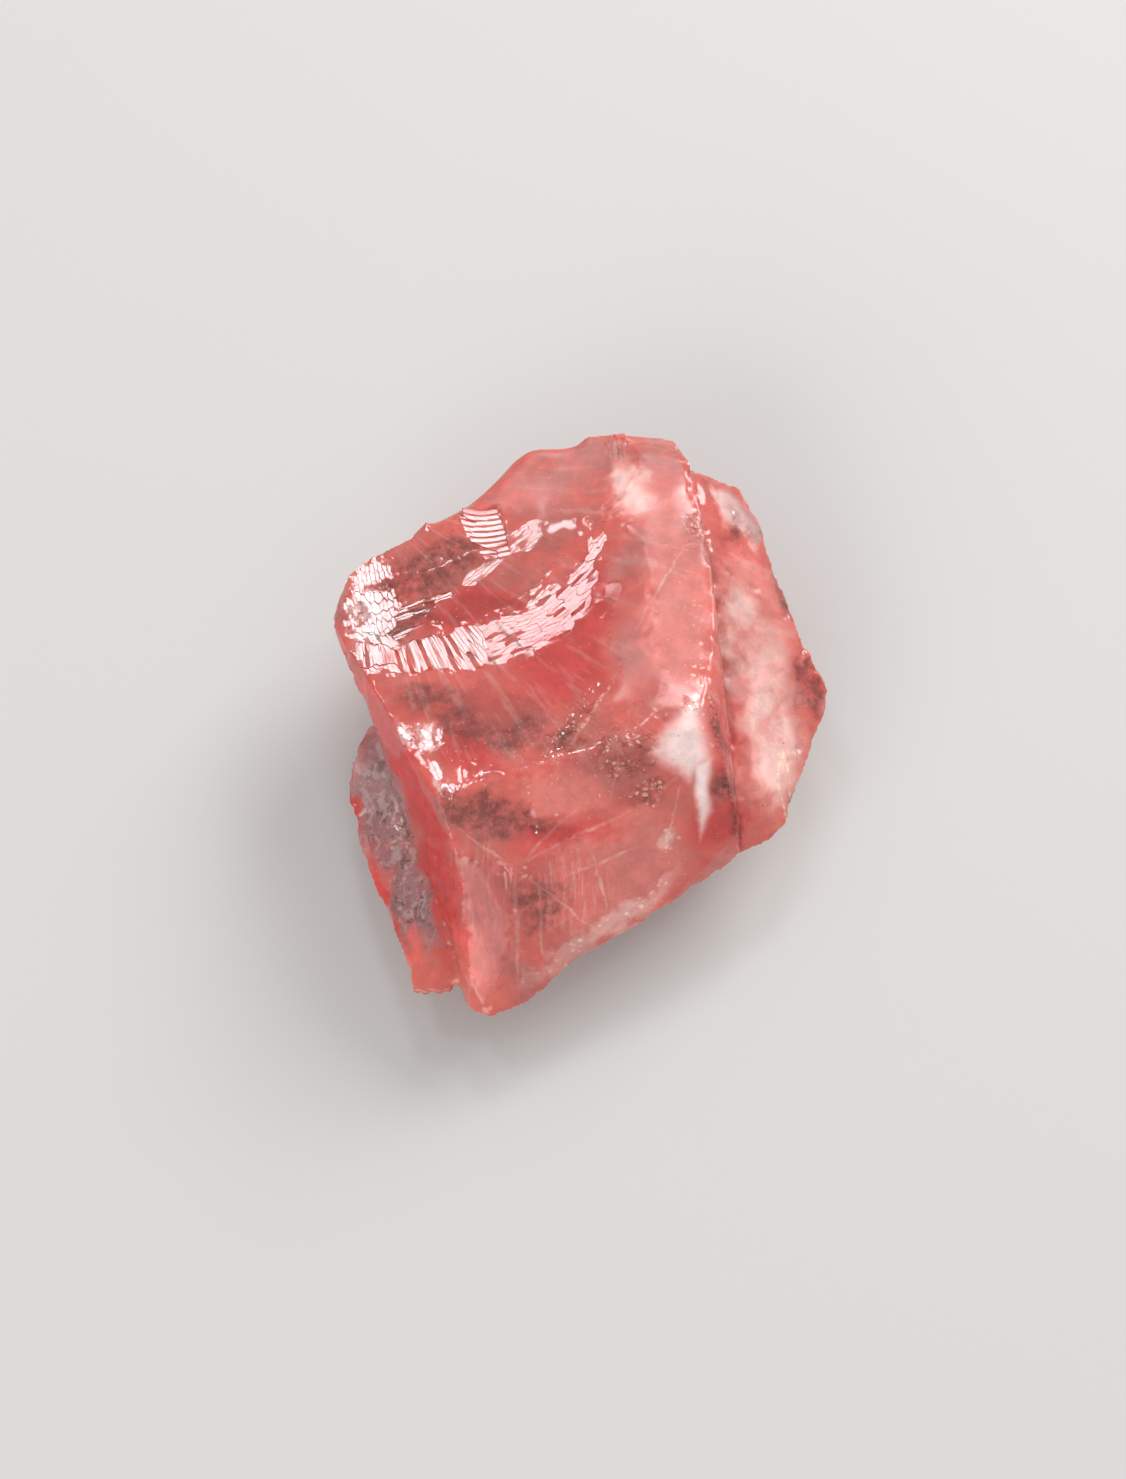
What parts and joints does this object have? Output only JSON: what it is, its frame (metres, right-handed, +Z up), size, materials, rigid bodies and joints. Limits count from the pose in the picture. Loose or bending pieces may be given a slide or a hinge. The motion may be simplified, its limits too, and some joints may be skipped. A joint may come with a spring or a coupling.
{
  "type": "rhodochrosite specimen",
  "caption": "Rough broken lump of translucent pink-red stone with shell-shaped fracture faces, a side terrace and a thin lower shelf, resting on its flattest face.",
  "frame": {"origin": "on the ground under the middle of the lump's bounding box", "axes": "+Z up from the face the lump rests on, +Y towards its far rim along its longest way, +X towards the terrace on its right"},
  "size_m": [0.0453, 0.0526, 0.0193],
  "materials": {
    "rhodochrosite": "vitreous, translucent, fracture faces"
  },
  "bodies": {
    "root": {"rhodochrosite_lump": "rhodochrosite"}
  },
  "joints": []
}
